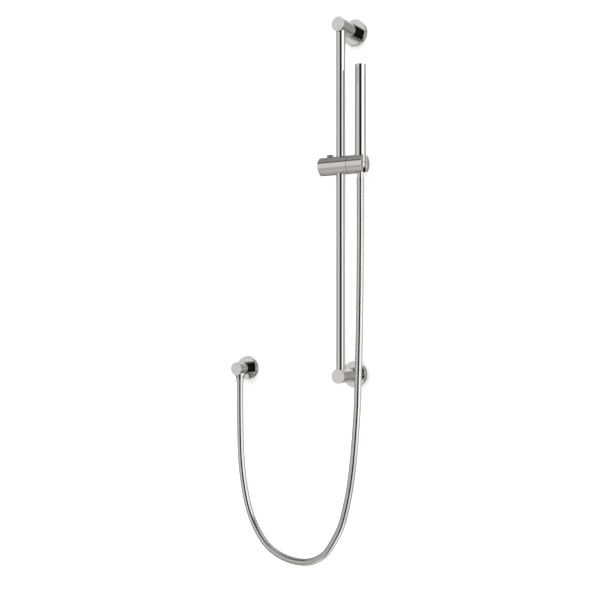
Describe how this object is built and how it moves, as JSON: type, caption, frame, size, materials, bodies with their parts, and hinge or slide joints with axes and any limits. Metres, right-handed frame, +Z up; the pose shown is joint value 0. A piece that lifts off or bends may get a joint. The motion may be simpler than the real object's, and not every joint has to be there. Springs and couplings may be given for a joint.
{
  "type": "slide-bar hand shower",
  "caption": "Slide-bar hand shower: round wall bar, locking slider with tilting holder, slim stick handset, metal hose and wall outlet elbow in polished nickel.",
  "frame": {"origin": "centre of the lower bracket's wall plate, on the wall plane", "axes": "+Z up along the bar, +Y into the wall, +X to the right of someone facing the wall"},
  "size_m": [0.3584, 0.084, 1.156],
  "materials": {
    "nickel": "polished",
    "nickel_plastic": "metallised, satin",
    "hose_metal": "polished, interlocked rings",
    "steel": "satin",
    "black_plastic": "moulded",
    "white_plastic": "moulded",
    "silicone": "matt silicone",
    "rubber": "matt"
  },
  "bodies": {
    "rail": {"bar": "nickel", "upper_post": "nickel", "lower_post": "nickel", "upper_plate": "steel", "lower_plate": "steel", "upper_flange": "nickel", "lower_flange": "nickel", "upper_gasket": "rubber", "lower_gasket": "rubber", "upper_set_screw": "steel", "lower_set_screw": "steel", "upper_bar_plug": "black_plastic", "lower_bar_plug": "black_plastic", "upper_bar_screw": "steel", "lower_bar_screw": "steel", "outlet_body": "nickel", "outlet_flange": "nickel", "outlet_gasket": "rubber", "outlet_oring": "rubber", "outlet_check_valve": "white_plastic", "hose_lower_collar": "nickel", "hose_lower_washer": "rubber", "hose": "hose_metal"},
    "slider": {"slider_body": "nickel", "slider_bush": "nickel_plastic", "slider_end_cap": "nickel", "brake_spring": "steel", "button_spring": "steel", "pivot_screw": "steel", "pivot_washer": "steel", "pivot_oring": "rubber"},
    "brake": {"brake_shoe": "black_plastic"},
    "button": {"release_button": "nickel"},
    "holder": {"holder_body": "nickel", "holder_seat": "black_plastic"},
    "hose_end": {"hose_upper_sleeve": "nickel"},
    "handset": {"handset_shell": "nickel", "spray_face": "nickel_plastic", "spray_nozzles": "silicone", "spray_manifold": "white_plastic", "manifold_oring": "rubber", "handset_inlet": "black_plastic", "flow_restrictor": "white_plastic", "inlet_washer": "rubber", "cone_nut": "nickel"}
  },
  "joints": [
    {"name": "slider_travel", "type": "slide", "parent": "rail", "child": "slider", "axis": [0, 0, 1], "range_m": [-0.39, 0.25], "deforming": ["hose"]},
    {"name": "button_press", "type": "slide", "parent": "slider", "child": "button", "axis": [0, 0, -1], "range_m": [0, 0.003], "stiffness_N_per_m": 800, "springref_m": -0.002, "deforming": ["button_spring"]},
    {"name": "brake_release", "type": "slide", "parent": "slider", "child": "brake", "axis": [-1, 0, 0], "range_m": [0, 0.0009], "deforming": ["brake_spring"]},
    {"name": "holder_tilt", "type": "hinge", "parent": "slider", "child": "holder", "pos_m": [0.03, -0.065, 0.432], "axis": [1, 0, 0], "range_deg": [-10, 35], "deforming": ["hose"]},
    {"name": "handset_lift", "type": "slide", "parent": "holder", "child": "hose_end", "axis": [0, 0, 1], "range_m": [0, 0.028], "deforming": ["hose"]},
    {"name": "handset_turn", "type": "hinge", "parent": "hose_end", "child": "handset", "pos_m": [0.0455, -0.065, 0.5], "axis": [0, 0, 1], "continuous": true}
  ],
  "couplings": [
    {"joint": "brake_release", "follows": "button_press", "ratio": 0.3}
  ]
}
